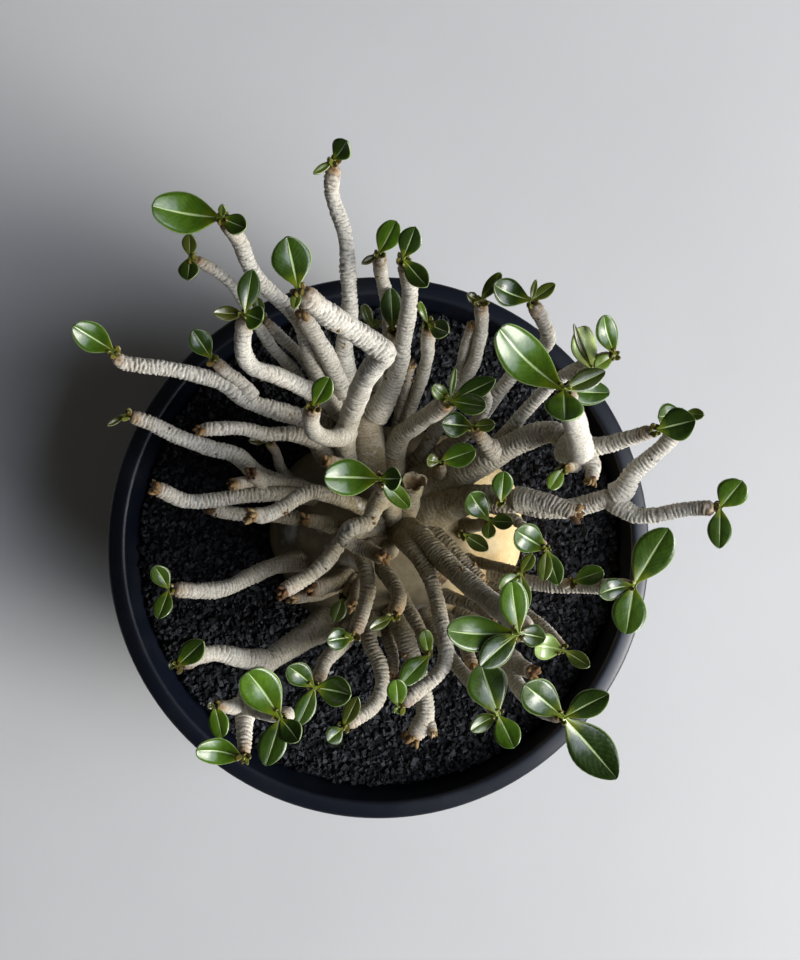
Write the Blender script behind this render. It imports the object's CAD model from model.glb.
import math
import random

import bmesh
import bpy
import numpy as np
from bpy.props import FloatProperty, FloatVectorProperty, IntProperty, PointerProperty
from bpy.types import Operator, Panel, PropertyGroup
from mathutils import Matrix, Vector, noise


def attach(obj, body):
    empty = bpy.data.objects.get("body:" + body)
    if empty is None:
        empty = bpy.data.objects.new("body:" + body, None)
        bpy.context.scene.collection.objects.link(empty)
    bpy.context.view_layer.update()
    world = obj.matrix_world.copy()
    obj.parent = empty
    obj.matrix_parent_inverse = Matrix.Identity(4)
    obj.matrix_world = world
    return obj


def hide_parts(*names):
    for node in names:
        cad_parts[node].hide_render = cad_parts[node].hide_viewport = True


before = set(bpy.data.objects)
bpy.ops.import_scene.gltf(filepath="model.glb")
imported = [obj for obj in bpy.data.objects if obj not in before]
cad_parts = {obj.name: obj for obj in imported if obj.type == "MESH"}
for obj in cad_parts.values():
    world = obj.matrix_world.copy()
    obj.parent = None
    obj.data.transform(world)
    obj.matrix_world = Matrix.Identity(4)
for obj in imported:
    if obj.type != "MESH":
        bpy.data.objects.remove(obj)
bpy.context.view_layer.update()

bl_info = {
    "name": "Potted desert rose",
    "version": (1, 0, 0),
    "blender": (4, 5, 0),
    "location": "View3D > Sidebar > Desert rose",
    "description": "Dresses the solids of a desert rose in a round nursery pot",
    "category": "Add Mesh",
}

# Millimetres to metres. Every size below is in millimetres, in the frame of the solids, apart
# from those of the lights.
MM = 0.001

# The pot
RIM_RADIUS = 100
POT_HEIGHT = 88
RIM_WIDTH = 7
RIM_THICKNESS = 3
RIM_SKIRT = 9.5
SKIRT_WALL = 2.2
# The convex outer half of the rim, as (how far in from its edge, how far below its top)
RIM_CURVE = [(0, 2.4), (0.15, 1.7), (0.6, 1.15), (1.3, 0.8), (2.2, 0.5), (3.2, 0.25), (4.2, 0.08), (5, 0)]
WALL = 2.3
FLOOR = 4
FOOT_RADIUS = 76
CHANNEL_DEPTH = 1.6
CHANNEL_RADII = (16, 61)
DRAIN_HOLES = 6
DRAIN_RADIUS = 5
DRAIN_CIRCLE = 38
# Edges that turn by more than this many degrees stay sharp
SHARP_ANGLE = 38

# The soil: its loose grains lie on packed grit whose flat top is a little lower, and their
# layer swells and sinks over lengths of SOIL_SWELL
SOIL_TOP = 79
SOIL_GAP = 0.35
SOIL_SWELL = 14
BED_DROP = 1.1
BED_RINGS = 12
BED_STEPS = 96

# The caudex: its middle, its half widths, and its outline as (share of the half width, height)
CAUDEX_CENTRE = (7, 6)
CAUDEX_HALF_WIDTHS = (44, 37)
CAUDEX_OUTLINE = [
    (0, 50), (0.5, 54), (0.86, 64), (0.98, 76), (1, 88), (0.9, 98), (0.7, 107), (0.42, 114), (0, 118),
]
# Swellings round the caudex, under its main limbs: (direction in degrees, share of the radius)
CAUDEX_LOBES = [(20, 0.08), (100, 0.06), (158, 0.1), (228, 0.09), (300, 0.07)]
LOBE_SPREAD = 26
# Its skin turns from brown to cream between these places east of the pot's axis
CREAM_FROM = 18
CREAM_TO = 32

# The skin of the stems: the sizes of its swellings, lumps and grain, the radius from which bark
# ages and over how much more it does, and how high the rings of old wood stand, as a share
SKIN_BUMPS = (6, 2.2, 0.9)
OLD_RADIUS = 3.4
OLD_RANGE = 4.5
WORN_LIP = 0.72
# How far behind a tip a faint tan reaches, and how often old shoots left a dry knob
FAINT_TAN = 9
KNOB_SPACING = 26
# How many rows of a stem are sunk in the wood that it grows from
SUNK_ROWS = 12
# Stems whose end was cut or broken off and left hollow, and how deep the hollow is
CUT_ENDS = ("middle_cut",)
HOLLOW_DEPTH = 2.6

# The leaves: how steeply a blade folds up beside its midrib, how far past a stem's tip its bud
# starts, and how far up the bud its leaves start
LEAF_FOLD = 0.16
BUD_GAP = 0.45
LEAF_START = 1.3
BUD_SCALES = 5
# The faces of a leaf and of a bud scale, across and along
LEAF_GRID = (10, 18)
SCALE_GRID = (4, 6)

# The stage: half the floor's width, the height of the crown's middle, and the way to the window
FLOOR_REACH = 2500
CROWN_HEIGHT = 120
WINDOW = Vector((0.94, -0.34, 0))

# Sizes of the marks in the finishes. Specks of dust and pores of grit are too fine to show one
# by one, and only roughen what the eye sees.
DUST_CLOUD = 20.83
DUST_SPECK = 0.4545
GRIT_PORE = 0.3846
CAUDEX_CLOUD = 15.385
CAUDEX_GRAIN = 1.111
BARK_PATCH = 7.143
BARK_FLECK = 0.7692
LEAF_MOTTLE = 3.125
FLOOR_CLOUD = 111.1

# A colour Mix node's two colours, whose names it shares with its inputs for numbers, and the
# settings that make it shade a colour by a number
MIX_A = 6
MIX_B = 7
SHADED = {"data_type": "RGBA", "blend_type": "MULTIPLY"}

# Places on the plant are given as they show from this point straight above the pot, on the
# level of the rim, as [x, y, height]. on_sight_line turns them into places in the frame.
EYE = Vector((8, 25, 468))

# Each stem is its name, its diameter at the root and at the tip, its middle line from root to
# tip, and its leaves. A leaf is [x, y, width, rise]: where its tip and its width show on the
# rim's level, and how far its tip is above its foot. A fifth number turns it about its length,
# in degrees. A sixth is its tone: 0 is the deepest green, 1 a fresh one and 2 a pale one.
STEMS = []


def stem(name, thick, course, leaves=()):
    STEMS.append({"name": name, "thick": thick, "course": course, "leaves": leaves})


# Limbs of the crown
stem("limb_north", [21, 10.5], [[4, 12, 96], [-1, 28, 110], [-4, 42, 120], [-5, 52, 126]])
stem("limb_northwest", [20, 9], [[0, 10, 96], [-11, 26, 108], [-20, 38, 116], [-27, 47, 122]])
stem("limb_northeast", [19, 7.2], [
  [8, 12, 98], [20, 22, 112], [35, 30, 124], [46, 36, 130], [55, 40.5, 134], [64, 42.5, 139], [70, 39, 143],
])
stem("limb_east", [17, 6], [
  [8, 8, 98], [24, 15.5, 117], [38, 18.5, 126], [48, 17.5, 129], [60, 15, 132], [70, 14.5, 134],
  [80, 17, 137], [87.5, 19.5, 140],
])
stem("limb_southwest", [17, 6.8], [
  [4, 0, 80], [-8, -17, 91], [-19.7, -27.8, 98], [-28.5, -33.7, 103], [-38, -40, 109], [-44, -46, 116],
  [-49.6, -58.7, 128],
])
stem("limb_south", [19, 10], [[6, 4, 92], [4, -11, 103], [4, -21, 107]])
stem("limb_southeast", [18, 9], [[8, 8, 98], [17, -3, 109], [24, -13, 112]])

# North side
stem("north_tall", [7, 4.4], [
  [-4, 44, 120], [-9, 58, 129], [-12.5, 72, 138], [-10.5, 85, 147], [-11, 100, 154], [-12.5, 116, 160],
  [-17, 130, 165], [-16.4, 140.5, 171],
], [[-11.5, 149.5, 8.3, 5], [-23.7, 137.6, 3, 1]])
stem("north_right", [8.4, 4.8], [
  [-2, 36, 114], [-2, 47, 124], [3, 55.5, 130], [6.8, 64.4, 136], [9, 74.7, 144], [10.8, 85.5, 152],
  [11.6, 95, 160], [9.5, 104.6, 168],
], [[13.6, 118, 8.8, 4], [18, 96, 8, 2]])
stem("north_back", [5.4, 4.2], [
  [-2, 36, 113], [-1, 48, 115], [1, 62, 121], [4, 77, 130], [3, 92, 139], [1, 101, 149], [0.4, 107, 158],
], [[6.5, 120, 9, 4], [-6, 104.5, 3, 1]])
stem("north_low", [4.4, 3.4], [
  [-3, 43, 119], [-1.5, 54, 120], [0, 66, 127], [-2, 79.5, 136],
], [[-5.5, 89.5, 4.5, 3], [0.4, 83.5, 3.6, 0]])
stem("north_twig", [3.6, 3], [[4, 73, 128], [5.2, 77, 136], [5.3, 79.3, 143]], [[4.6, 95.5, 8.4, 1]])
stem("north_slim", [5, 4.1], [
  [5, 24, 104], [8, 38, 111], [11.2, 50.2, 119], [15.6, 61, 128], [18, 70.8, 138], [18.3, 81, 150],
], [[25.9, 79.1, 7.5, 2], [15.2, 90.4, 2.8, 4]])
stem("north_bare", [4.4, 3.6], [[3, 24, 103], [5.5, 38, 110], [8.7, 53.6, 120], [11.7, 67.8, 135]])

# Northwest side
stem("northwest_long", [6.6, 4.7], [
  [-10, 40, 118], [-18, 57, 129], [-25, 71, 139], [-28.5, 83, 147], [-38.4, 93, 153], [-44, 98.5, 157],
  [-47.8, 104.5, 160], [-50.8, 112.5, 166], [-56.5, 120, 175],
], [[-83, 125.6, 15.5, 3], [-48.6, 117.5, 8, 2], [-57.2, 126, 3, 3]])
stem("northwest_bare", [6.6, 5.3], [[-6, 48, 122], [-13, 59.6, 131], [-19.3, 71.4, 142], [-28.6, 87, 158]])
stem("northwest_low", [4.6, 3.4], [
  [-17, 36, 113], [-22, 50, 114], [-31, 65, 119], [-38.9, 73.8, 128], [-47, 86, 141], [-54, 97, 150],
  [-61, 102.5, 154], [-67.5, 106, 158],
], [[-69.4, 115.5, 5.6, 4], [-70, 98.4, 7.6, 2]])
stem("northwest_back", [4.6, 3.8], [
  [-14, 34, 112], [-19, 52, 113], [-26.7, 68.4, 120], [-35.5, 77.3, 126], [-42, 83.5, 131],
], [[-44.5, 92, 4.5, 0]])
stem("northwest_near", [7.4, 6.3], [
  [-6, 26, 108], [-12, 38, 122], [-11, 46, 134], [-8.5, 52.7, 146], [-5.5, 61, 160], [-1, 67.5, 171],
  [2.6, 71.5, 177], [-2.5, 75.5, 180], [-11, 81, 185], [-20.8, 87.5, 192], [-28, 94, 198],
], [[-33.5, 114.3, 15, 3], [-31, 88, 4, 0]])
stem("northwest_hook", [5.6, 5], [
  [-10.5, 44, 130], [-14, 41, 136], [-19, 40.5, 142], [-23.5, 43, 149], [-24.8, 47, 157], [-24, 51.3, 165],
], [[-18, 62.5, 8, 4]])

# West side
stem("west_elbow", [6.8, 5], [
  [-9, 44, 118], [-16, 52, 128], [-26.7, 58.6, 140], [-37.9, 63.5, 149], [-46, 66.5, 156], [-49.5, 72, 163],
  [-49, 84.5, 173],
], [[-46.2, 102.3, 8.5, 5, 20], [-60.5, 86.5, 5.5, 1], [-42.6, 83.5, 9.5, 2]])
stem("west_long", [7.4, 4.6], [
  [-12, 40, 116], [-22, 46, 124], [-33, 49.3, 132], [-46.8, 53.7, 138], [-57.5, 60.6, 143],
  [-66, 63.5, 146], [-78.4, 66, 149], [-90, 67.5, 151], [-94.6, 68.6, 152.5], [-96, 70.8, 154.5],
], [[-111.9, 81.6, 11, 4]])
stem("west_twig", [4.6, 3.8], [
  [-46, 54.5, 138], [-51, 61, 142], [-56, 65, 146], [-60, 68.5, 150],
], [[-68, 80, 8.5, 3]])
stem("west_cut", [6, 4.4], [
  [-14, 38, 112], [-22, 40, 121], [-32, 42, 127], [-42, 42, 130], [-50.2, 43.9, 133], [-66, 43.5, 138],
])
stem("west_low", [4, 3.2], [
  [-30, 22, 94], [-35.5, 29, 103], [-37.5, 35, 110], [-40, 38.5, 116],
], [[-47.5, 39.5, 3.4, 1]])
stem("west_rising", [9, 4.9], [
  [-16, 18, 90], [-32, 21.5, 101], [-44, 27, 110], [-52, 34, 117], [-61, 36.5, 121], [-72.5, 40.5, 125],
  [-83, 45.5, 129], [-91, 48.5, 133],
], [[-99.5, 44.9, 2.5, 1]])
stem("west_short", [5, 4.1], [
  [-22, 19, 104], [-31.6, 22.8, 112], [-40.4, 24.8, 118], [-47.7, 24.3, 122], [-54, 23.3, 127],
])
stem("west_knob", [5, 4.4], [[-43, 24.6, 120], [-45, 26, 124], [-47, 27.3, 129]])
stem("west_straight", [5.6, 4.9], [
  [-24, 19, 108], [-36, 20, 117], [-48.3, 19.3, 121], [-60, 17.7, 124], [-70.4, 17.3, 127],
  [-82.5, 22.6, 134],
])
stem("west_round", [5, 4.6], [[-22, 10, 100], [-38, 12, 108], [-51.8, 12.6, 113], [-62.5, 14.5, 118]])
stem("west_near", [6, 4.7], [
  [0, 12, 118], [-9.6, 16.8, 129], [-18.9, 19.6, 135], [-24, 20.6, 137], [-29, 19, 139], [-35, 15, 142],
  [-41, 12.3, 145], [-47.3, 12, 149],
])
stem("west_south", [7, 5.4], [
  [-14, 0, 90], [-27, -4, 102], [-38, -6.5, 110], [-47, -10.3, 115], [-54.7, -14.3, 118], [-62, -15.6, 121],
  [-75, -15.3, 128],
], [[-82.2, -6.7, 7, 4], [-80.9, -25.8, 7, 4]])
stem("west_stub", [5.5, 4.5], [[-14, 8, 108], [-21, 9.5, 116], [-27.7, 10.4, 122]])
stem("crown_stub", [5.5, 4.2], [[-12, 30, 118], [-15.5, 31, 127], [-19, 32, 134]])

# Middle
stem("middle_top", [6.4, 5], [
  [6, 10, 112], [4, 17, 132], [2, 22, 150], [1, 25, 163],
], [[-19.7, 26, 14, 2], [8.3, 25.5, 9, 3], [11.5, 14.8, 7, -3]])
stem("middle_curl", [5.4, 4.7], [
  [3, 20, 138], [-0.5, 16, 149], [-4.5, 9, 158], [-10, 7.3, 160], [-12.5, 3.8, 157], [-8, 0.8, 155],
  [-2, -1.6, 158], [2.3, -4, 163],
])
stem("middle_cut", [8, 6.5], [[10, 14, 116], [12, 20, 126], [13.5, 24.5, 134]])
stem("middle_west", [5.6, 4.7], [
  [2, 8, 112], [-6, 6, 124], [-12, 4, 134], [-15.5, 0, 140], [-19.4, -5.3, 144], [-26, -10.5, 148],
  [-36, -16.5, 154],
])
stem("middle_rough", [7, 5.4], [[-8, -8, 104], [-16, -13, 120], [-26, -15, 130]])
stem("middle_pale", [5, 4], [[-12, -12, 106], [-22, -17, 117], [-32, -18.5, 124]])

# South side
stem("south_near", [5.6, 4.7], [
  [3, 4, 110], [-3, 1, 122], [-6, -2.5, 132], [-4.3, -9, 138], [-4, -16.6, 142], [-5.7, -23, 146],
  [-8.6, -31.3, 152],
], [[-18.8, -34.2, 8.5, 2]])
stem("south_short", [5.6, 4.8], [
  [5, 2, 108], [3, -2, 122], [1.5, -7, 136], [5, -12.5, 143], [7.6, -18, 149], [5.8, -24, 155],
], [[-3.2, -29.8, 4.5, 1]])
stem("south_tiny", [4, 3], [[-8, -10, 112], [-10.5, -14, 119], [-12.5, -17.5, 125]], [[-16, -27, 6, 1]])
stem("south_nub", [4.5, 4], [[-7, -11, 112], [-8.5, -17, 124], [-9.3, -22, 133]])
stem("south_long", [5.8, 4.6], [
  [8, 6, 116], [12, 0, 129], [17.5, -8, 134], [21, -17, 138], [22.5, -25, 142], [24.8, -35, 147],
  [24, -43, 149], [20, -48.3, 150], [14.5, -52.5, 152], [9, -57.3, 155],
], [[6.5, -48.3, 7.5, 4], [6.3, -60.5, 3, 1]])
stem("south_knotty", [5, 4.2], [
  [6, -14, 108], [12, -24, 117], [15.3, -30, 122], [18.3, -38, 130],
], [[9, -49.5, 9, 3], [16.8, -30.2, 5.5, 6]])
stem("south_curved", [5.8, 5], [
  [-1, -20, 100], [-3.5, -33, 110], [0.6, -43, 114], [1.4, -50, 117], [-1, -57, 120], [-11.5, -65, 126],
], [[-7.5, -54.7, 6, 4], [-18.5, -71, 7, 2]])
stem("south_slim", [5, 4], [[2, -20, 98], [3.6, -33, 105], [5.6, -41, 108], [5, -47.4, 110]])
stem("south_cut", [6.4, 6.4], [
  [4, -17, 102], [9.4, -32, 111], [13.5, -43, 114], [16.5, -54, 116], [17, -62, 118], [12, -70.7, 120],
])
stem("south_spur", [4, 3], [[16.6, -60, 117], [18.6, -65, 119], [20.7, -69, 122]])
stem("southwest_short", [6, 5], [
  [0, -16, 96], [-11, -33, 108], [-19, -41, 117], [-22.8, -50, 129],
], [[-10, -54, 11.5, 3], [-33, -43.5, 9, 5], [-29.5, -65, 7.5, 2]])
stem("southwest_side", [6.4, 5.6], [
  [-40, -42, 111], [-50.6, -40.4, 119], [-59, -38.6, 124], [-66, -39.6, 128], [-72.5, -42.7, 132],
], [[-64.3, -34.2, 8.5, 4], [-77, -42.3, 3.7, 0]])
stem("southwest_left", [4.6, 3.9], [
  [-49, -57.5, 126], [-54, -58.5, 134], [-59, -57.8, 141],
], [[-57.5, -69.5, 7.5, 1], [-62.6, -58, 3, 1]])
stem("southwest_down", [5.6, 4.5], [
  [-47.5, -55, 122], [-49.1, -64, 132], [-49.1, -75.6, 140],
], [[-66.8, -74.4, 10, 3]])
stem("southwest_near", [5.2, 4.6], [
  [-49, -56.5, 124], [-43, -60, 140], [-36.5, -61.2, 154], [-33.8, -61.3, 164], [-35.5, -62.3, 172],
], [[-48, -45.5, 15, 5], [-41.3, -79.8, 10.5, 2], [-29.3, -71, 9, 3]])

# Southeast side
stem("southeast_near", [8, 6.3], [
  [8, 8, 112], [16, 3.5, 127], [25.1, -5.9, 136], [33, -13, 143], [43, -21, 153], [49.5, -26, 166],
  [53.2, -29, 178], [52, -30.8, 186],
], [[49, -12.3, 11, 5], [25.4, -30.4, 13.5, 6, 20], [37.5, -43.5, 11, 2], [61.5, -33.2, 8.5, -2]])
stem("southeast_bare", [5.6, 4.4], [[12, 9, 110], [21, 5.5, 118], [30.2, -3.8, 122], [38.9, -13, 126]])
stem("southeast_slim", [4.6, 3.6], [
  [22, -1, 100], [33, -4.5, 110], [43, -6.7, 117], [51, -8.8, 124],
], [[56.8, -2.3, 5, 4], [44.5, -15, 6, 3], [54, -23, 6, 2]])
stem("southeast_cut", [5, 4.1], [[14, -10, 100], [24, -17, 109], [35.3, -21.2, 117], [43.3, -25.6, 124]])
stem("southeast_back", [4.6, 3.5], [
  [32, -10, 92], [45, -16, 103], [56, -25, 113], [63, -31, 121], [67.5, -36.5, 129],
], [[57.5, -36, 10, 3, 0, 1.35], [77.6, -43.5, 6, 2]])
stem("southeast_long", [6.4, 5], [
  [26, -18, 96], [38, -29, 108], [47, -43, 124], [53, -53, 136], [60, -59, 147], [67, -61.8, 156],
], [[53.8, -50.2, 13.5, 6], [84.8, -53.6, 10.5, 3], [87.7, -84.7, 16.5, -2, 0, 0.1]])
stem("southeast_stub", [6, 5], [[44, -37, 116], [50, -42, 126], [57, -46, 134]])
stem("southeast_inner", [5.4, 4.3], [
  [14, -14, 100], [20, -28, 108], [27, -40.5, 118], [33, -48.3, 128], [41, -57.5, 143], [43.5, -60.5, 149],
], [[37.8, -42.6, 15.5, 6], [49.8, -73.2, 10, 2], [34, -67, 6.5, 1]])
stem("southeast_low", [5, 4.4], [[20, -20, 98], [29, -31, 107], [35, -44, 116]])

# East side
stem("east_low", [6.4, 4.9], [
  [24, -2, 88], [38, -7, 98], [52, -12, 108], [66, -13.7, 115], [80.3, -14, 122], [92.3, -13.6, 130],
], [[106.6, 7.2, 14.5, 6], [91, -31.5, 13, 3], [81.2, -16.9, 8, 5]])
stem("east_twig", [2.8, 2.4], [
  [67, -13.5, 115], [69.5, -13, 120], [71, -12.5, 125],
], [[82.6, -8.4, 7.5, 3]])
stem("east_cut", [7, 5.6], [[40, 18, 127], [52, 18, 133], [62, 16.5, 137], [74.3, 12.6, 141]])
stem("east_upper", [6, 5.2], [
  [86, 19, 139], [90, 21.5, 141], [94, 28, 143], [101, 34, 146], [107, 40, 149], [111.5, 48, 153],
], [[103, 48, 9, 3], [119.6, 48.8, 4.5, 2]])
stem("east_far", [5.6, 4.6], [
  [85.5, 18.5, 138], [89.5, 15, 140], [95, 12, 142], [103, 12.3, 145], [112.4, 14.2, 148],
  [123.5, 14.8, 152],
], [[133.6, 24.6, 11.5, 4], [125.2, 0, 9, 3]])
stem("east_fork", [4.6, 3.5], [
  [30, 12, 100], [42, 14.5, 117], [50, 10.5, 124], [56.5, 4.5, 131], [61, 0.3, 138],
], [[50.6, 6.4, 11, 4], [60.6, -12, 5.7, 2], [66.2, -13.5, 7.5, 1]])
stem("east_tuft", [5, 4], [
  [30, 8, 108], [37, 8.5, 122], [40.3, 9.8, 133],
], [[33.8, 20.2, 9.5, 5], [49.4, 9.5, 6, 3], [40.4, 3.6, 5.3, 4]])
stem("east_inner", [4, 3], [[24, 5, 102], [28, 5, 109], [30.5, 5.2, 115]], [[40.4, -0.6, 6, 1]])
stem("east_bud", [3, 2.6], [[44, 17.8, 127], [44.5, 17.4, 133], [45, 17, 138]], [[46.2, 28.1, 8, 4]])

# Northeast side
stem("northeast_near", [8.4, 6.6], [
  [62, 42, 138], [70, 37, 143], [74, 35, 150], [73.5, 41, 163], [71.5, 48.5, 177], [68.5, 57, 191],
], [[44.5, 80.5, 17, 3], [68.5, 46.8, 14.5, 6], [83.4, 64.9, 8, -3], [85, 57, 10, -5]])
stem("northeast_low", [5.4, 4.6], [
  [70, 36.5, 146], [78, 37, 149], [86, 38.5, 153], [94, 41, 158], [100.5, 43, 163],
], [[116.5, 47, 12.5, 3]])
stem("northeast_knob", [4.5, 3.2], [[74, 36, 150], [72.5, 31, 150], [69, 29.5, 154]], [[63, 21.8, 6, 2]])
stem("northeast_stub", [5, 4], [[74, 35, 149], [79, 30, 152], [77.5, 24, 154]])
stem("northeast_back", [5.4, 3.6], [
  [38, 33, 122], [46.5, 41.4, 127], [55.3, 51.7, 133], [62, 58.5, 139], [69, 64, 147], [77, 68, 157],
  [85.5, 70.5, 165],
], [[82.9, 85.3, 8.5, 4], [79.7, 66.5, 5.5, 4]])
stem("northeast_twig", [4, 3], [
  [70, 64.5, 148], [74.5, 64, 156], [78, 65, 163],
], [[75, 81.4, 11, 0, 18, 2], [72, 82.4, 2.6, 3]])
stem("northeast_inner", [5.8, 4.4], [
  [14, 28, 106], [24, 36, 114], [36, 46, 121], [44, 57, 129], [51, 65, 137], [58.5, 71, 144],
  [62.5, 77, 150], [60.5, 83, 155], [57, 89.5, 161],
], [[42.5, 96.8, 10.5, 3], [64.9, 97, 5, 2], [58, 98.5, 2.4, 3]])
stem("northeast_upright", [5.4, 4.2], [
  [12, 28, 104], [18, 38, 112], [25, 50, 117], [31, 61, 123], [35.2, 68.5, 131], [37.4, 78, 141],
  [38.1, 84, 148], [37.6, 89.5, 155],
], [[45, 101, 5, 3], [32.7, 93.3, 4, 1]])
stem("northeast_bare", [4.4, 3.5], [[24, 48, 114], [30.3, 66, 125], [32, 74, 134], [35, 82.5, 144]])
stem("northeast_thick", [8, 5.8], [
  [4, 26, 110], [7.3, 40, 121], [13, 45, 129], [19, 49, 139], [25.5, 53.5, 150],
], [[43, 62, 8, 3], [39.5, 52, 8, 5], [20, 59.5, 5.5, 2], [28.3, 66, 2.4, 2]])
stem("northeast_dry", [3.2, 2.4], [[36, 45, 121], [39, 50, 134], [40.5, 55, 140], [38, 59.5, 145]])
stem("northeast_short", [6, 4.4], [
  [44, 33, 127], [42.5, 35.5, 131], [39.5, 38.5, 135], [35.8, 43.5, 140],
], [[23.4, 45.8, 9.5, 1], [42.8, 45.5, 5, 2]])
stem("northeast_crown", [4, 3.2], [
  [20, 22, 112], [23, 28, 124], [22.6, 31, 133],
], [[35.5, 36, 9, 3], [17.9, 32.5, 5, 3]])


def srgb(hex_colour):
    """A colour written as sRGB hex, in the linear values that Blender works with."""
    parts = [int(hex_colour[i:i + 2], 16) / 255 for i in (1, 3, 5)]
    return tuple(c / 12.92 if c <= 0.04045 else ((c + 0.055) / 1.055) ** 2.4 for c in parts)


WHITE = srgb("#ffffff")


# Settings

COLOUR = {"subtype": "COLOR", "size": 3, "min": 0, "max": 1}
POWER = {"unit": "POWER", "min": 0, "max": 500}


class PotSettings(PropertyGroup):
    plastic: FloatVectorProperty(
        name="Plastic", description="Colour of the moulded plastic", default=srgb("#0a101c"), **COLOUR,
    )
    steps: IntProperty(
        name="Steps", description="Steps of the wall round its axis", default=160, min=24, max=360,
    )


class SoilSettings(PropertyGroup):
    grain: FloatProperty(
        name="Grain", description="Length of a typical grain of grit", default=1.95 * MM,
        min=0.5 * MM, max=8 * MM, unit="LENGTH",
    )
    doublings: IntProperty(
        name="Doublings", description="How often the grains are doubled, starting from one",
        default=14, min=4, max=14,
    )
    dark: FloatVectorProperty(
        name="Dark grain", description="Colour of the darkest grains", default=srgb("#020203"), **COLOUR,
    )
    pale: FloatVectorProperty(
        name="Pale grain", description="Colour of the pale grains", default=srgb("#3c3e42"), **COLOUR,
    )


class BarkSettings(PropertyGroup):
    pitch: FloatProperty(
        name="Ring pitch", description="Distance from one ring scar to the next", default=1.2 * MM,
        min=0.4 * MM, max=4 * MM, unit="LENGTH",
    )
    depth: FloatProperty(
        name="Ring depth", description="How far the lip of a ring stands out of a stem",
        default=0.44 * MM, min=0, max=1 * MM, unit="LENGTH",
    )
    row: FloatProperty(
        name="Row", description="Length of one row of faces along a stem", default=0.3 * MM,
        min=0.15 * MM, max=2 * MM, unit="LENGTH",
    )
    pale: FloatVectorProperty(
        name="Young bark", description="Colour of the silvery bark of young stems",
        default=srgb("#c7c1b3"), **COLOUR,
    )
    old: FloatVectorProperty(
        name="Old bark", description="Colour of the brown bark of old wood",
        default=srgb("#796b4a"), **COLOUR,
    )


class LeafSettings(PropertyGroup):
    thickness: FloatProperty(
        name="Thickness", description="Thickness of a blade", default=0.55 * MM,
        min=0.2 * MM, max=1.5 * MM, unit="LENGTH",
    )
    deep: FloatVectorProperty(
        name="Deep green", description="Colour of the darkest leaves", default=srgb("#192b04"), **COLOUR,
    )
    fresh: FloatVectorProperty(
        name="Fresh green", description="Colour of the freshest leaves", default=srgb("#45650e"), **COLOUR,
    )


class StageSettings(PropertyGroup):
    floor: FloatVectorProperty(
        name="Floor", description="Colour of the floor", default=srgb("#d0d0cf"), **COLOUR,
    )
    key: FloatProperty(
        name="Key light", description="Power of the low light from the right", default=36, **POWER,
    )
    window: FloatProperty(
        name="Window", description="Power of the broad light behind the key", default=52, **POWER,
    )
    sky: FloatProperty(
        name="Sky", description="Power of the high part of the window", default=16, **POWER,
    )


# Helpers for materials and pieces

def add(tree, kind, sockets=None, stops=(), **settings):
    """Adds a node, sets its properties and colour stops, and sets or links its sockets.

    A node given for a socket stands for the first output that it has in use.
    """
    node = tree.nodes.new("ShaderNode" + kind)
    for name, value in settings.items():
        setattr(node, name, value)
    for position, colour in stops:
        ramp = node.color_ramp.elements
        # A new ramp has a stop at either end
        stop = ramp[-position] if position in (0, 1) else ramp.new(position)
        stop.color = (*colour, 1)
    for key, value in (sockets or {}).items():
        socket = node.inputs[key]
        if isinstance(value, bpy.types.Node):
            value = next(output for output in value.outputs if output.enabled)
        if isinstance(value, bpy.types.NodeSocket):
            tree.links.new(value, socket)
        elif socket.type == "RGBA":
            socket.default_value = (*value, 1)
        else:
            socket.default_value = value
    return node


def per(size):
    """The scale of a pattern whose marks are this many millimetres across."""
    return 1 / (size * MM)


def new_material(name):
    material = bpy.data.materials.new(name)
    material.use_nodes = True
    material.node_tree.nodes.clear()
    return material, material.node_tree


def finish_material(tree, sockets, bump=None, bump_depth=0):
    """Ends a material in its surface, with a bump whose depth is in millimetres."""
    if bump is not None:
        sockets["Normal"] = add(tree, "Bump", {"Height": bump, "Distance": bump_depth * MM})
    surface = add(tree, "BsdfPrincipled", sockets)
    add(tree, "OutputMaterial", {"Surface": surface})


def new_piece(name, mesh, material, node):
    """A finished mesh as a piece that rides on the body and stands for a node."""
    piece = bpy.data.objects.new(name, mesh)
    bpy.context.scene.collection.objects.link(piece)
    mesh.materials.append(material)
    mesh.shade_smooth()
    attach(piece, "root")
    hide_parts(node)
    return piece


def mesh_of(bm, name):
    mesh = bpy.data.meshes.new(name)
    bm.to_mesh(mesh)
    bm.free()
    return mesh


def places_of(mesh):
    places = np.zeros(len(mesh.vertices) * 3)
    mesh.vertices.foreach_get("co", places)
    return places.reshape(-1, 3)


def set_places(mesh, places):
    mesh.vertices.foreach_set("co", places.ravel())
    mesh.update()


def set_values(mesh, name, values):
    attribute = mesh.attributes.new(name, "FLOAT", "POINT")
    attribute.data.foreach_set("value", np.asarray(values, dtype=np.float32))


def spun(profile, steps):
    """A profile of (radius, height) points in millimetres spun round the upright axis."""
    bm = bmesh.new()
    verts = [bm.verts.new((radius * MM, 0, height * MM)) for radius, height in profile]
    edges = [bm.edges.new(pair) for pair in zip(verts, verts[1:])]
    bmesh.ops.spin(
        bm, geom=verts + edges, cent=(0, 0, 0), axis=(0, 0, 1), angle=2 * math.pi, steps=steps,
        use_merge=True,
    )
    bmesh.ops.remove_doubles(bm, verts=bm.verts, dist=0.001 * MM)
    bmesh.ops.recalc_face_normals(bm, faces=bm.faces)
    return bm


# Helpers for the forms

def inner_radius(height):
    """The radius of the pot's inside at a height."""
    top = RIM_RADIUS - RIM_WIDTH
    slope = (top - (FOOT_RADIUS - WALL)) / (POT_HEIGHT - FLOOR)
    return top - (POT_HEIGHT - height) * slope


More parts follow.
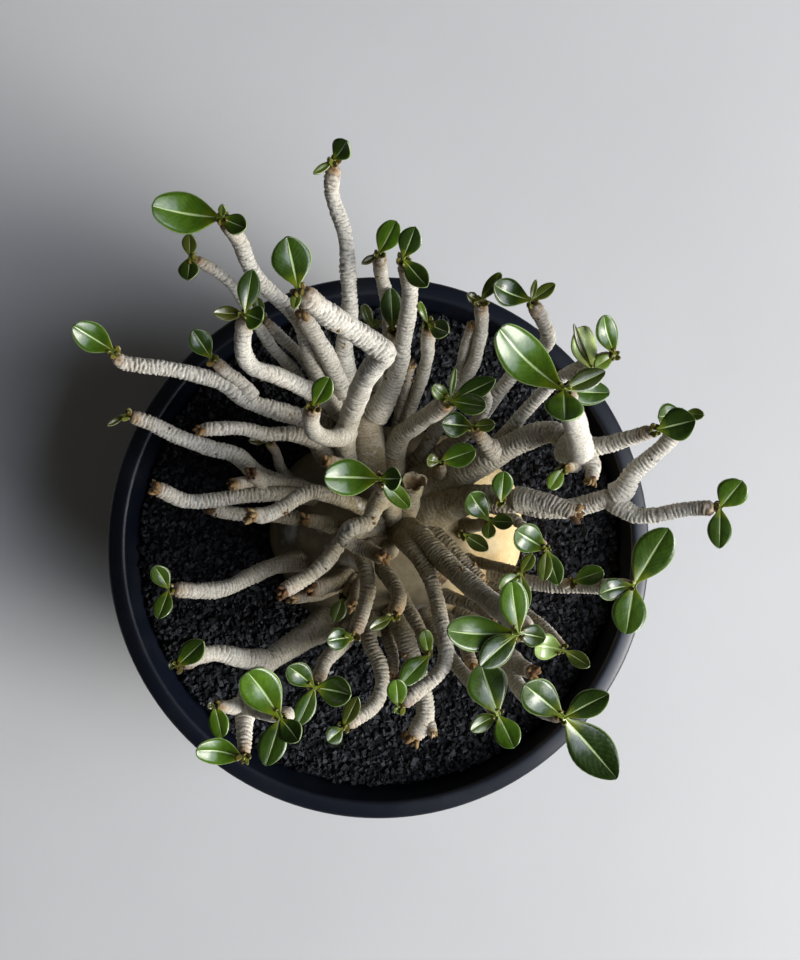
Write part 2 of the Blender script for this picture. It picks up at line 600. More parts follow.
def share_at(height):
    """How large a thing at this height is for its seeming size on the rim's level."""
    return (EYE.z - height) / (EYE.z - POT_HEIGHT)


def on_sight_line(point):
    """Where a place given as [x, y, height] on the rim's level is in the frame."""
    share = share_at(point[2])
    return Vector((
        EYE.x + (point[0] - EYE.x) * share, EYE.y + (point[1] - EYE.y) * share, point[2],
    ))


def eased(share, start, end, lead, trail):
    """A cubic curve from start to end that leaves along lead and arrives along trail."""
    return (
        (2 * share**3 - 3 * share**2 + 1) * start + (share**3 - 2 * share**2 + share) * lead
        + (3 * share**2 - 2 * share**3) * end + (share**3 - share**2) * trail
    )


def smooth_course(points, step):
    """A centripetal Catmull-Rom curve through the points, as places a step apart."""
    knots = np.array([on_sight_line(p) for p in points])
    ends = [2 * knots[0] - knots[1], *knots, 2 * knots[-1] - knots[-2]]
    share = np.linspace(0, 1, 25)[:, None]
    fine = []
    for before, start, end, after in zip(ends, ends[1:], ends[2:], ends[3:]):
        gaps = [np.linalg.norm(b - a) ** 0.5 for a, b in ((before, start), (start, end), (end, after))]
        lead = ((start - before) / gaps[0] - (end - before) / (gaps[0] + gaps[1])) * gaps[1] + end - start
        trail = ((after - end) / gaps[2] - (after - start) / (gaps[1] + gaps[2])) * gaps[1] + end - start
        fine.append(eased(share, start, end, lead, trail))
    line = np.concatenate(fine)
    reach = np.concatenate([[0], np.cumsum(np.linalg.norm(np.diff(line, axis=0), axis=1))])
    rows = max(6, round(reach[-1] / step))
    even = np.linspace(0, reach[-1], rows + 1)
    return np.stack([np.interp(even, reach, line[:, i]) for i in range(3)], axis=1), even


def lobe(angle):
    """The caudex's swelling in a direction, in radians."""
    swell = np.ones_like(angle)
    for direction, share in CAUDEX_LOBES:
        away = (np.degrees(angle) - direction + 180) % 360 - 180
        swell += share * np.exp(-((away / LOBE_SPREAD) ** 2))
    return swell


def in_caudex(places):
    """Which places lie inside the caudex."""
    x = places[:, 0] - CAUDEX_CENTRE[0]
    y = places[:, 1] - CAUDEX_CENTRE[1]
    share = np.hypot(x / CAUDEX_HALF_WIDTHS[0], y / CAUDEX_HALF_WIDTHS[1]) / lobe(np.arctan2(y, x))
    widths, heights = zip(*CAUDEX_OUTLINE)
    return share < np.interp(places[:, 2], heights, widths, left=0, right=0)


def trace_stems(step):
    """Every stem's middle line, its radius along it, and the row at which it leaves the wood."""
    traced = []
    for shoot in STEMS:
        line, reach = smooth_course(shoot["course"], step)
        root, tip = shoot["thick"]
        radius = (tip + (root - tip) * (1 - reach / reach[-1]) ** 2) / 2
        traced.append({**shoot, "line": line, "reach": reach, "radius": radius})
    for shoot in traced:
        # Only the first two thirds of a stem are looked at, every third row, to save time
        early = shoot["line"][: len(shoot["line"]) * 2 // 3 : 3]
        hidden = in_caudex(early)
        thicker = [
            other for other in traced
            if other is not shoot and other["thick"][0] > shoot["thick"][0] * 1.02
        ]
        if thicker:
            wood = np.concatenate([other["line"][::4] for other in thicker])
            girth = np.concatenate([other["radius"][::4] for other in thicker])
            gap = np.linalg.norm(early[:, None] - wood[None], axis=2)
            hidden |= (gap < girth[None]).any(axis=1)
        out = np.flatnonzero(~hidden)
        shoot["out"] = int(out[0]) * 3 if len(out) else 0
    return traced


def frames_along(line):
    """The way ahead and two directions across a line at each of its places, without a twist."""
    ahead = np.gradient(line, axis=0)
    ahead /= np.linalg.norm(ahead, axis=1)[:, None]
    across = np.cross(ahead[0], (0.3, 0.5, 0.81))
    sides = []
    for direction in ahead:
        across = across - direction * across.dot(direction)
        across /= np.linalg.norm(across)
        sides.append(across)
    sides = np.array(sides)
    return ahead, sides, np.cross(ahead, sides)


def noise_at(places, size):
    """Smooth noise from -1 to 1 whose bumps are about this many millimetres across."""
    return np.array([noise.noise(Vector(place) / size) for place in places])


def tan_end(to_tip, length, patches, lumps):
    """How tan a stem's skin is near its tip: in full patches, then faintly for a while."""
    full = np.exp(-((to_tip / length) ** 1.5)) * np.clip(patches, 0, 1)
    faint = 0.42 * np.exp(-((to_tip / FAINT_TAN) ** 2)) * np.clip(0.5 + 1.2 * lumps, 0, 1)
    return np.maximum(full, faint)


def shape_stem(shoot, bark, row, turn, draw):
    """The skin of a stem at these rows and turns, with its ridge, scar and age values.

    Ring scars run round it in broken lips, it flares where it leaves the wood, and it ends in a
    dome under leaves, in an uneven dome where it is bare, or in a hollow end where it was cut.
    """
    line, reach, radius = shoot["line"], shoot["reach"], shoot["radius"]
    ahead, side, up = frames_along(line)
    along = reach[row]
    to_tip = reach[-1] - along
    free = along - reach[shoot["out"]]
    width = radius[row]
    around = side[row] * np.cos(turn)[:, None] + up[row] * np.sin(turn)[:, None]
    skin = line[row] + around * width[:, None]
    seed = draw.uniform(0, 90)
    broad, mid, small = (noise_at(skin + seed, size) for size in SKIN_BUMPS)

    # The rings wander and break up. They start low where the stem leaves the wood, and wear
    # down to an even height on thick old wood.
    pitch = bark.pitch / MM * draw.uniform(0.9, 1.15)
    phase = along / pitch + 1.2 * broad + 0.6 * mid
    lip = np.abs(np.sin(np.pi * phase)) ** 0.75
    lip = np.clip(lip + 0.38 * small, 0, 1.15)
    fresh = np.clip(free / (1.2 * width + 1), 0, 1)
    old = np.clip((width - OLD_RADIUS) / OLD_RANGE, 0, 1)
    depth = bark.depth / MM * np.clip(1 + 1.1 * mid + 0.5 * broad, 0.25, 1.9) * (0.35 + 0.65 * fresh)
    depth *= 1 - 0.35 * old
    lip += (WORN_LIP - lip) * (0.04 + 0.72 * old)
    lump = 0.07 * broad + 0.035 * np.sin(0.42 * along + seed)
    flare = 0.36 * np.exp(-np.maximum(free, 0) / (1.3 * width))
    girth = width * (1 + lump + flare) + depth * (lip - 0.75) + 0.12 * small

    centre = line[row]
    tip = shoot["thick"][1] / 2
    last = row == len(line) - 1
    if shoot["leaves"]:
        close = np.clip(to_tip / (1.2 * tip), 0, 1)
        girth *= 0.42 + 0.58 * np.sqrt(1 - (1 - close) ** 2)
        scar = tan_end(to_tip, 3.8, 0.75 + 0.7 * mid, mid)
    elif shoot["name"] in CUT_ENDS:
        girth *= 1 + (0.2 + 0.7 * mid) * np.exp(-((to_tip / 1.6) ** 2))
        girth = np.where(last, girth * 0.5, girth)
        centre = centre - ahead[row] * np.where(last, HOLLOW_DEPTH, 0.9 * mid * (to_tip < 0.5))[:, None]
        scar = np.where(last, 1.0, 0.0)
        lip = np.where(last, 0.0, np.where(to_tip < 1.5, 1.1, lip))
    else:
        close = np.clip(to_tip / (1.4 * tip), 0, 1)
        girth *= 0.25 + 0.75 * np.sqrt(1 - (1 - close) ** 2) + 0.14 * mid * (1 - close)
        scar = tan_end(to_tip, 3.2, 0.85 + 0.6 * mid, mid)
    places = centre + around * girth[:, None]

    # Bark is the younger and paler the further it is from the top of the caudex
    spread = np.hypot(places[:, 0] - CAUDEX_CENTRE[0], places[:, 1] - CAUDEX_CENTRE[1])
    rise = places[:, 2] - CAUDEX_OUTLINE[-1][1]
    age = np.clip((spread + 0.5 * rise - 24) / 50, 0, 1)
    age = np.clip(age + 0.12 * broad - 0.3 * old, 0, 1)
    return places, lip, scar, age


def dry_knob(bm, foot, ahead, thick, count, draw):
    """Dry bud scales and leaf stubs crowd one spot of the bark."""
    across = ahead.orthogonal().normalized()
    for i in range(count):
        spread = Matrix.Rotation(2 * math.pi * (i + draw.uniform(-0.3, 0.3)) / count, 3, ahead) @ across
        lean = (ahead * draw.uniform(0.8, 1.4) + spread * draw.uniform(0.2, 0.9)).normalized()
        size = thick * draw.uniform(0.14, 0.28)
        middle = foot + spread * thick * draw.uniform(0.1, 0.36) - ahead * draw.uniform(0.2, 1.4)
        turned = lean.to_track_quat("Z", "X").to_matrix().to_4x4()
        form = Matrix.Diagonal((size, size * 0.7, size * draw.uniform(1.1, 2.1), 1))
        bmesh.ops.create_icosphere(
            bm, subdivisions=2, radius=1, matrix=Matrix.Translation(middle) @ turned @ form,
        )


def add_knobs(bm, shoot, draw):
    """Dry knobs end a bare stem and mark where old shoots broke off along it."""
    line = shoot["line"]
    out = shoot["out"]
    limb = shoot["name"].startswith("limb_")
    if not (shoot["leaves"] or limb or shoot["name"] in CUT_ENDS):
        ahead = Vector(line[-1] - line[-4]).normalized()
        dry_knob(bm, Vector(line[-1]), ahead, shoot["thick"][1] * 1.15, draw.randint(6, 9), draw)
    free = shoot["reach"][-1] - shoot["reach"][out]
    for _ in range(int(free / KNOB_SPACING)):
        row = draw.randrange(out + 6, len(line) - 12)
        course = Vector(line[row + 1] - line[row - 1]).normalized()
        away = Matrix.Rotation(draw.uniform(0, 2 * math.pi), 3, course) @ course.orthogonal().normalized()
        foot = Vector(line[row]) + away * shoot["radius"][row]
        dry_knob(bm, foot, away, draw.uniform(2.4, 3.4), 3, draw)


# Pieces

class DESERT_ROSE_OT_pot(Operator):
    """Moulds the pot with its convex rim, skirt and drained foot"""
    bl_idname = "desert_rose.pot"
    bl_label = "Pot"

    def execute(self, context):
        settings = context.scene.desert_rose_pot
        shell = bpy.data.objects.new("nursery_pot", mesh_of(spun(self.profile(), settings.steps), "pot"))
        cutter = bpy.data.objects.new("drills", mesh_of(self.drills(), "drills"))
        for thing in (shell, cutter):
            context.scene.collection.objects.link(thing)
        cut = shell.modifiers.new("holes", "BOOLEAN")
        cut.operation = "DIFFERENCE"
        cut.solver = "EXACT"
        cut.object = cutter
        context.view_layer.update()
        drilled = bpy.data.meshes.new_from_object(shell.evaluated_get(context.evaluated_depsgraph_get()))
        bpy.data.objects.remove(cutter)
        bpy.data.objects.remove(shell)
        piece = new_piece("nursery_pot", drilled, self.plastic(settings), "pot")
        piece.modifiers.new("smooth", "WEIGHTED_NORMAL")
        drilled.set_sharp_from_angle(angle=math.radians(SHARP_ANGLE))
        return {"FINISHED"}

    def profile(self):
        """The pot's wall from the middle of its foot round its rim to the middle of its floor."""
        top = RIM_RADIUS - RIM_WIDTH
        under = POT_HEIGHT - RIM_THICKNESS
        skirt = RIM_RADIUS - SKIRT_WALL
        skirt_end = POT_HEIGHT - RIM_SKIRT
        channel_start, channel_end = CHANNEL_RADII
        return [
            (0, 0), (channel_start, 0), (channel_start + 1.5, CHANNEL_DEPTH),
            (channel_end - 1.5, CHANNEL_DEPTH), (channel_end, 0),
            (FOOT_RADIUS - 2, 0), (FOOT_RADIUS - 0.6, 0.6), (FOOT_RADIUS, 2),
            *((inner_radius(height) + WALL, height) for height in (30, 60, under)),
            (skirt, under), (skirt, skirt_end + 0.4), (skirt + 0.4, skirt_end),
            (RIM_RADIUS - 0.9, skirt_end), (RIM_RADIUS - 0.5, skirt_end + 0.4),
            *((RIM_RADIUS - inset, POT_HEIGHT - drop) for inset, drop in RIM_CURVE),
            (top + 1.2, POT_HEIGHT), (top + 0.35, POT_HEIGHT - 0.3), (top, POT_HEIGHT - 1.1),
            *((inner_radius(height), height) for height in (60, FLOOR + 2)),
            (inner_radius(FLOOR) - 2, FLOOR), (0, FLOOR),
        ]

    def drills(self):
        """A ring of upright pegs where the drain holes go."""
        bm = bmesh.new()
        for i in range(DRAIN_HOLES):
            turn = 2 * math.pi * i / DRAIN_HOLES
            middle = Vector((DRAIN_CIRCLE * math.cos(turn), DRAIN_CIRCLE * math.sin(turn), FLOOR / 2))
            bmesh.ops.create_cone(
                bm, cap_ends=True, segments=32, radius1=DRAIN_RADIUS * MM, radius2=DRAIN_RADIUS * MM,
                depth=3 * FLOOR * MM, matrix=Matrix.Translation(middle * MM),
            )
        return bm

    def plastic(self, settings):
        """Injection-moulded black polypropylene: satin, a little dusty on its rim."""
        material, tree = new_material("black_polypropylene")
        place = add(tree, "TexCoord").outputs["Object"]
        cloud = add(tree, "TexNoise", {"Vector": place, "Scale": per(DUST_CLOUD), "Detail": 3})
        speck = add(tree, "TexNoise", {"Vector": place, "Scale": per(DUST_SPECK), "Detail": 2})
        dusty = add(tree, "MapRange", {"Value": cloud, "From Min": 0.5, "From Max": 0.8, "To Max": 0.3})
        dots = add(tree, "MapRange", {"Value": speck, "From Min": 0.68, "From Max": 0.78})
        dust = add(tree, "Math", {0: dusty, 1: dots}, operation="ADD", use_clamp=True)
        thin = add(tree, "Math", {0: dust, 1: 0.18}, operation="MULTIPLY")
        colour = add(
            tree, "Mix", {"Factor": thin, MIX_A: settings.plastic, MIX_B: srgb("#6b6a66")},
            data_type="RGBA",
        )
        rough = add(tree, "MapRange", {"Value": dust, "To Min": 0.4, "To Max": 0.62})
        finish_material(
            tree, {"Base Color": colour, "Roughness": rough, "IOR": 1.49}, bump=speck, bump_depth=0.02,
        )
        return material


class DESERT_ROSE_OT_soil(Operator):
    """Fills the pot with dark grit, grain by grain at its top"""
    bl_idname = "desert_rose.soil"
    bl_label = "Soil"

    def execute(self, context):
        settings = context.scene.desert_rose_soil
        material = self.grit(settings)
        packed = mesh_of(spun(self.bed(), BED_STEPS), "packed_grit")
        set_values(packed, "shade", np.full(len(packed.vertices), 0.1))
        new_piece("packed_grit", packed, material, "soil")
        grains = self.grains(settings)
        new_piece("loose_grit", grains, material, "soil")
        grains.shade_flat()
        return {"FINISHED"}

    def reach(self, height):
        """How far the soil reaches from the axis at a height."""
        return inner_radius(height) - SOIL_GAP

    def bed(self):
        """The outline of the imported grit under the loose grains, with rings on its flat top."""
        bed = SOIL_TOP - BED_DROP
        rings = [(self.reach(SOIL_TOP) * (1 - i / BED_RINGS), bed) for i in range(1, BED_RINGS)]
        return [
            (0, FLOOR + SOIL_GAP), (self.reach(FLOOR) - 2, FLOOR + SOIL_GAP),
            (self.reach(FLOOR + 2), FLOOR + 2 + SOIL_GAP), (self.reach(bed - 1) - 0.1, bed - 1),
            *rings, (0, bed),
        ]

    def grains(self, settings):
        """Loose grains: boxes with uneven corners, each turned its own way, in an uneven layer."""
        bm = bmesh.new()
        bmesh.ops.create_cube(bm, size=0.8)
        for _ in range(settings.doublings):
            bmesh.ops.duplicate(bm, geom=bm.verts[:] + bm.edges[:] + bm.faces[:])
        grains = mesh_of(bm, "loose_grit")
        corners = places_of(grains).reshape(-1, 8, 3)
        count = len(corners)
        draw = np.random.default_rng(11)
        size = settings.grain / MM * np.exp(draw.normal(0, 0.28, count)).clip(0.5, 1.7)
        shape = draw.uniform((0.8, 0.6, 0.5), (1.3, 1.0, 0.8), (count, 3)) * size[:, None]
        corners = corners * draw.uniform(0.6, 1.25, (count, 8, 1)) * shape[:, None]
        axes, _ = np.linalg.qr(draw.normal(size=(count, 3, 3)))
        axes *= np.sign(np.linalg.det(axes))[:, None, None]
        corners = np.einsum("nij,nkj->nki", axes, corners)
        # Three times as many places as grains are drawn, and those under the caudex are dropped
        away = np.sqrt(draw.uniform(0, 1, 3 * count)) * (self.reach(SOIL_TOP) - 1.2)
        angle = draw.uniform(0, 2 * math.pi, 3 * count)
        across = np.stack([away * np.cos(angle), away * np.sin(angle)], axis=1)
        clear = np.hypot(*((across - CAUDEX_CENTRE) / CAUDEX_HALF_WIDTHS).T) > 0.97
        across = across[clear][:count]
        swell = 0.9 * noise_at(np.column_stack([across, np.zeros(count)]), SOIL_SWELL)
        middle = np.column_stack([across, SOIL_TOP - 0.9 + draw.uniform(-0.5, 0.8, count) + swell])
        set_places(grains, ((corners + middle[:, None]) * MM).reshape(-1, 3))
        shade = np.clip(draw.beta(1.1, 5.5, count), 0, 1)
        set_values(grains, "shade", np.repeat(shade, 8))
        return grains

    def grit(self, settings):
        """Crushed lava and charred bark: rough, near black, with a few grey glints."""
        material, tree = new_material("black_grit")
        place = add(tree, "TexCoord").outputs["Object"]
        shade = add(tree, "Attribute", attribute_name="shade").outputs["Fac"]
        pores = add(tree, "TexNoise", {"Vector": place, "Scale": per(GRIT_PORE), "Detail": 3})
        colour = add(
            tree, "ValToRGB", {"Fac": shade},
            stops=[(0, settings.dark), (0.4, settings.pale), (0.75, srgb("#0e0f11")), (1, WHITE)],
        )
        rough = add(tree, "MapRange", {"Value": shade, "To Min": 0.95, "To Max": 0.6})
        finish_material(
            tree, {"Base Color": colour, "Roughness": rough, "Specular IOR Level": 0.25},
            bump=pores, bump_depth=0.3,
        )
        return material


class DESERT_ROSE_OT_caudex(Operator):
    """Swells the caudex out of the soil, smooth and a little uneven"""
    bl_idname = "desert_rose.caudex"
    bl_label = "Caudex"

    def execute(self, context):
        # Its outline is spun as shares of its half widths, magnified so that none of them merge
        magnified = 1000
        profile = [(max(0, share) * magnified, height) for share, height in self.outline()]
        mesh = mesh_of(spun(profile, 144), "caudex")
        places = places_of(mesh) / MM
        x, y = places[:, 0] / magnified, places[:, 1] / magnified
        turn = np.arctan2(y, x)
        height = places[:, 2]
        waves = 1 + 0.018 * np.sin(5 * turn + height * 0.11) + 0.012 * np.sin(9 * turn - height * 0.17)
        swell = lobe(turn) * waves
        places[:, 0] = CAUDEX_CENTRE[0] + x * CAUDEX_HALF_WIDTHS[0] * swell
        places[:, 1] = CAUDEX_CENTRE[1] + y * CAUDEX_HALF_WIDTHS[1] * swell
        set_places(mesh, places * MM)
        new_piece("caudex", mesh, self.skin(), "plant")
        return {"FINISHED"}

    def outline(self):
        """The caudex's outline with finer points, eased so that it has no corner."""
        knots = np.linspace(0, 1, len(CAUDEX_OUTLINE))
        fine = np.linspace(0, 1, 56)
        index = np.clip(np.searchsorted(knots, fine) - 1, 0, len(knots) - 2)
        gap = knots[index + 1] - knots[index]
        share = (fine - knots[index]) / gap
        curves = []
        for values in np.array(CAUDEX_OUTLINE, float).T:
            slope = np.gradient(values, knots)
            lead, trail = gap * slope[index], gap * slope[index + 1]
            curves.append(eased(share, values[index], values[index + 1], lead, trail))
        curve = np.stack(curves, axis=1)
        curve[0, 0] = curve[-1, 0] = 0
        return curve

    def skin(self):
        """Skin of a succulent's swollen base: smooth, papery, tan and grey in clouds."""
        material, tree = new_material("caudex_skin")
        place = add(tree, "TexCoord").outputs["Object"]
        cloud = add(
            tree, "TexNoise", {"Vector": place, "Scale": per(CAUDEX_CLOUD), "Detail": 4, "Roughness": 0.55},
        )
        grain = add(
            tree, "TexNoise", {"Vector": place, "Scale": per(CAUDEX_GRAIN), "Detail": 4, "Roughness": 0.65},
        )
        brown = add(
            tree, "ValToRGB", {"Fac": cloud},
            stops=[(0, srgb("#2e281c")), (0.45, srgb("#7d7156")), (0.6, srgb("#5d533e")), (1, WHITE)],
        )
        cream = add(
            tree, "ValToRGB", {"Fac": cloud},
            stops=[(0, srgb("#8b6f3c")), (0.45, srgb("#dcc492")), (0.6, srgb("#c8a96f")), (1, WHITE)],
        )
        # The side that lies open to the east is cream, the rest brown
        split = add(tree, "SeparateXYZ", {"Vector": place})
        open_side = add(
            tree, "MapRange", {"Value": split, "From Min": CREAM_FROM * MM, "From Max": CREAM_TO * MM},
        )
        sided = add(tree, "Mix", {"Factor": open_side, MIX_A: brown, MIX_B: cream}, data_type="RGBA")
        speck = add(
            tree, "MapRange",
            {"Value": grain, "From Min": 0.3, "From Max": 0.7, "To Min": 0.88, "To Max": 1.06},
        )
        colour = add(tree, "Mix", {"Factor": 1, MIX_A: sided, MIX_B: speck}, **SHADED)
        finish_material(
            tree, {"Base Color": colour, "Roughness": 0.68, "IOR": 1.45}, bump=grain, bump_depth=0.15,
        )
        return material


class DESERT_ROSE_OT_stems(Operator):
    """Grows the limbs and stems with their ring scars, in four pieces by side"""
    bl_idname = "desert_rose.stems"
    bl_label = "Stems"

    # The limbs of each side, and how the names of its other stems start
    SIDES = {
        "north": (("limb_north", "limb_northwest"), ("north_", "northwest_")),
        "west": (("limb_southwest",), ("west_", "crown_", "middle_")),
        "south": (("limb_south", "limb_southeast"), ("south_", "southwest_", "southeast_")),
        "east": (("limb_east", "limb_northeast"), ("east_", "northeast_")),
    }

    def execute(self, context):
        bark = context.scene.desert_rose_bark
        traced = trace_stems(bark.row / MM)
        material = self.ringed(bark)
        draw = random.Random(5)
        for side, (limbs, starts) in self.SIDES.items():
            chosen = [
                shoot for shoot in traced
                if shoot["name"] in limbs or shoot["name"].startswith(starts)
            ]
            self.grow("stems_" + side, chosen, bark, material, draw)
        return {"FINISHED"}

    def grow(self, name, shoots, bark, material, draw):
        """One piece from a plain tube a stem, which shape_stem then bends, and its dry knobs."""
        bm = bmesh.new()
        plans = []
        for shoot in shoots:
            first = max(0, shoot["out"] - SUNK_ROWS)
            rows = len(shoot["line"]) - 1 - first
            # Faces about 1 mm wide
            columns = min(44, max(14, round(math.pi * shoot["radius"][shoot["out"]] * 2)))
            start = len(bm.verts)
            made = bmesh.ops.create_cone(
                bm, cap_ends=True, segments=columns, radius1=1, radius2=1, depth=1,
            )
            upright = {
                edge for vert in made["verts"] for edge in vert.link_edges
                if abs(edge.verts[0].co.z - edge.verts[1].co.z) > 0.5
            }
            bmesh.ops.subdivide_edges(bm, edges=list(upright), cuts=rows - 1, use_grid_fill=True)
            plans.append((shoot, start, len(bm.verts), first, rows))
        knobs = len(bm.verts)
        for shoot in shoots:
            add_knobs(bm, shoot, draw)
        mesh = mesh_of(bm, name)
        places = places_of(mesh)
        ridge = np.zeros(len(places))
        scar = np.ones(len(places))
        age = np.zeros(len(places))
        ridge[knobs:] = np.random.default_rng(2).uniform(0, 1, len(places) - knobs)
        for shoot, start, end, first, rows in plans:
            own = places[start:end]
            row = first + np.rint((own[:, 2] + 0.5) * rows).astype(int)
            turn = np.arctan2(own[:, 1], own[:, 0])
            shaped = shape_stem(shoot, bark, row, turn, draw)
            places[start:end], ridge[start:end], scar[start:end], age[start:end] = shaped
        set_places(mesh, places * MM)
        for value, values in (("ridge", ridge), ("scar", scar), ("age", age)):
            set_values(mesh, value, values)
        new_piece(name, mesh, material, "plant")

    def ringed(self, bark):
        """Bark of a pachycaul: dry and matt, silvery on young stems, brown on old wood, tan at tips."""
        material, tree = new_material("ringed_bark")
        place = add(tree, "TexCoord").outputs["Object"]
        ridge, scar, age = (
            add(tree, "Attribute", attribute_name=name).outputs["Fac"]
            for name in ("ridge", "scar", "age")
        )
        patch = add(
            tree, "TexNoise", {"Vector": place, "Scale": per(BARK_PATCH), "Detail": 5, "Roughness": 0.65},
        )
        fleck = add(
            tree, "TexNoise", {"Vector": place, "Scale": per(BARK_FLECK), "Detail": 4, "Roughness": 0.7},
        )
        silvery = add(
            tree, "ValToRGB", {"Fac": patch},
            stops=[(0, srgb("#a39b88")), (0.42, srgb("#d7d2c4")), (0.58, bark.pale), (1, WHITE)],
        )
        brown = add(
            tree, "ValToRGB", {"Fac": patch},
            stops=[(0, srgb("#403726")), (0.42, srgb("#90866d")), (0.6, bark.old), (1, WHITE)],
        )
        weather = add(tree, "Mix", {"Factor": age, MIX_A: brown, MIX_B: silvery}, data_type="RGBA")
        groove = add(
            tree, "MapRange",
            {"Value": ridge, "From Min": 0.05, "From Max": 0.75, "To Min": 0.42, "To Max": 1.06},
            interpolation_type="SMOOTHSTEP",
        )
        speck = add(
            tree, "MapRange",
            {"Value": fleck, "From Min": 0.3, "From Max": 0.7, "To Min": 0.62, "To Max": 1.2},
        )
        flecked = weather
        for shade in (groove, speck):
            flecked = add(tree, "Mix", {"Factor": 1, MIX_A: flecked, MIX_B: shade}, **SHADED)
        rust = add(
            tree, "ValToRGB", {"Fac": patch},
            stops=[(0, srgb("#2c190d")), (0.4, srgb("#55361d")), (0.52, srgb("#94713f")),
                   (0.7, srgb("#c6ae7e")), (1, WHITE)],
        )
        hollow = add(tree, "MapRange", {"Value": ridge, "To Min": 0.35, "To Max": 1.05})
        rusty = add(tree, "Mix", {"Factor": 1, MIX_A: rust, MIX_B: hollow}, **SHADED)
        tipped = add(tree, "Mix", {"Factor": scar, MIX_A: flecked, MIX_B: rusty}, data_type="RGBA")
        finish_material(
            tree, {"Base Color": tipped, "Roughness": 0.8, "IOR": 1.45}, bump=fleck, bump_depth=0.3,
        )
        return material


class DESERT_ROSE_OT_leaves(Operator):
    """Unfolds a bud and its leaves at the tip of each leafy stem"""
    bl_idname = "desert_rose.leaves"
    bl_label = "Leaves"

    def execute(self, context):
        settings = context.scene.desert_rose_leaf
        material = self.blade(settings)
        draw = random.Random(3)
        for shoot in STEMS:
            if shoot["leaves"]:
                self.tuft(shoot, settings, material, draw)
        return {"FINISHED"}

    def tuft(self, shoot, settings, material, draw):
        """One piece from a plain grid a blade, which shape_blade then bends."""
        plans = self.plan(shoot, draw)
        bm = bmesh.new()
        spans = []
        for *_, young in plans:
            start = len(bm.verts)
            columns, rows = SCALE_GRID if young else LEAF_GRID
            bmesh.ops.create_grid(bm, x_segments=columns, y_segments=rows, size=1, calc_uvs=False)
            spans.append(slice(start, len(bm.verts)))
        name = "leaves_" + shoot["name"]
        mesh = mesh_of(bm, name)
        places = places_of(mesh)
        u, v, tones, youth = np.zeros((4, len(places)))
        for span, plan in zip(spans, plans):
            _, _, width, _, tone, young = plan
            places[span], u[span], v[span] = self.shape_blade(places[span], *plan)
            tones[span] = tone
            youth[span] = young or np.clip((6.5 - width) / 6, 0, 0.34)
        set_places(mesh, places * MM)
        set_values(mesh, "tone", tones)
        set_values(mesh, "young", youth)
        corner = np.zeros(len(mesh.loops), int)
        mesh.loops.foreach_get("vertex_index", corner)
        blade_map = mesh.uv_layers.new(name="blade")
        blade_map.data.foreach_set("uv", np.stack([u[corner], v[corner]], axis=1).ravel())
        piece = new_piece(name, mesh, material, "tuft_" + shoot["name"])
        wall = piece.modifiers.new("thickness", "SOLIDIFY")
        wall.thickness = settings.thickness
        wall.offset = 0
        wall.use_even_offset = False

    def plan(self, shoot, draw):
        """Each leaf and bud scale as its foot, end, width, turn and tone, and 1 for a scale."""
        before, tip = (on_sight_line(p) for p in shoot["course"][-2:])
        ahead = (tip - before).normalized()
        heart = tip + ahead * (BUD_GAP + LEAF_START)
        plans = []
        for x, y, width, rise, *extra in shoot["leaves"]:
            end = on_sight_line((x, y, heart.z + rise))
            turn = extra[0] if extra else 0
            tone = extra[1] if len(extra) > 1 else draw.uniform(0.05, 0.95)
            plans.append((heart, end, width * share_at(heart.z), turn, tone, 0))
        across = ahead.orthogonal().normalized()
        for i in range(BUD_SCALES):
            turn = 2 * math.pi * i / BUD_SCALES + draw.uniform(-0.3, 0.3)
            spread = Matrix.Rotation(turn, 3, ahead) @ across
            foot = tip - ahead * 0.2 + spread * shoot["thick"][1] * 0.12
            course = ahead * draw.uniform(0.75, 1.1) + spread * draw.uniform(0.35, 0.8)
            end = foot + course * draw.uniform(1.8, 3.0)
            width, turn, tone = (draw.uniform(*span) for span in ((1.3, 1.9), (-20, 20), (0.2, 0.8)))
            plans.append((foot, end, width, turn, tone, 1))
        return plans

    def shape_blade(self, grid, foot, end, width, turn, tone, young):
        """A grid bent into a blade, and how far across and along the blade its places are."""
        share = 0.5 - 0.5 * np.cos(np.pi * (grid[:, 1] + 1) / 2)
        length = (end - foot).length
        ahead = (end - foot).normalized()
        # A blade that points away from the window cups up towards it
        away = max(0, -ahead.dot(WINDOW))
        facing = max(0, ahead.dot(WINDOW))
        arch = -0.03 - 0.17 * away - 0.07 * facing + 0.02 * math.sin(40 * tone)
        side = Vector((0, 0, 1)).cross(ahead)
        side = side.normalized() if side.length > 1e-4 else Vector((1, 0, 0))
        turn -= 14 * away * side.dot(WINDOW)
        side = Matrix.Rotation(math.radians(turn), 3, ahead) @ side
        up = ahead.cross(side)
        # Widest past its middle, with a rounder end the fresher its green, and a stalk at its foot
        stalk = 0.175 if young else 0.065
        roundness = 0.22 + 0.34 * min(tone, 1)
        half = np.maximum(
            0.5 * np.maximum(0, np.sin(np.pi * share**1.22)) ** (0.9 - roundness * share),
            stalk * np.clip((1 - share) * 12, 0.12, 1),
        )
        spread = np.sign(grid[:, 0]) * np.abs(grid[:, 0]) ** 1.25
        offset = spread * width * half
        groove = 0 if young else 0.16 * np.exp(-((offset / 0.55) ** 2))
        height = (
            arch * length * np.sin(np.pi * share)
            + LEAF_FOLD * np.abs(offset) - 0.055 * width * (np.abs(spread) ** 2) * half * 2
            - groove + 0.012 * width * np.sin(5 * share + 9 * tone) * spread
        )
        middle = np.array(foot) + np.outer(share * length, ahead)
        places = middle - np.outer(offset, side) + np.outer(height, up)
        return places, 0.5 + 0.5 * spread, share

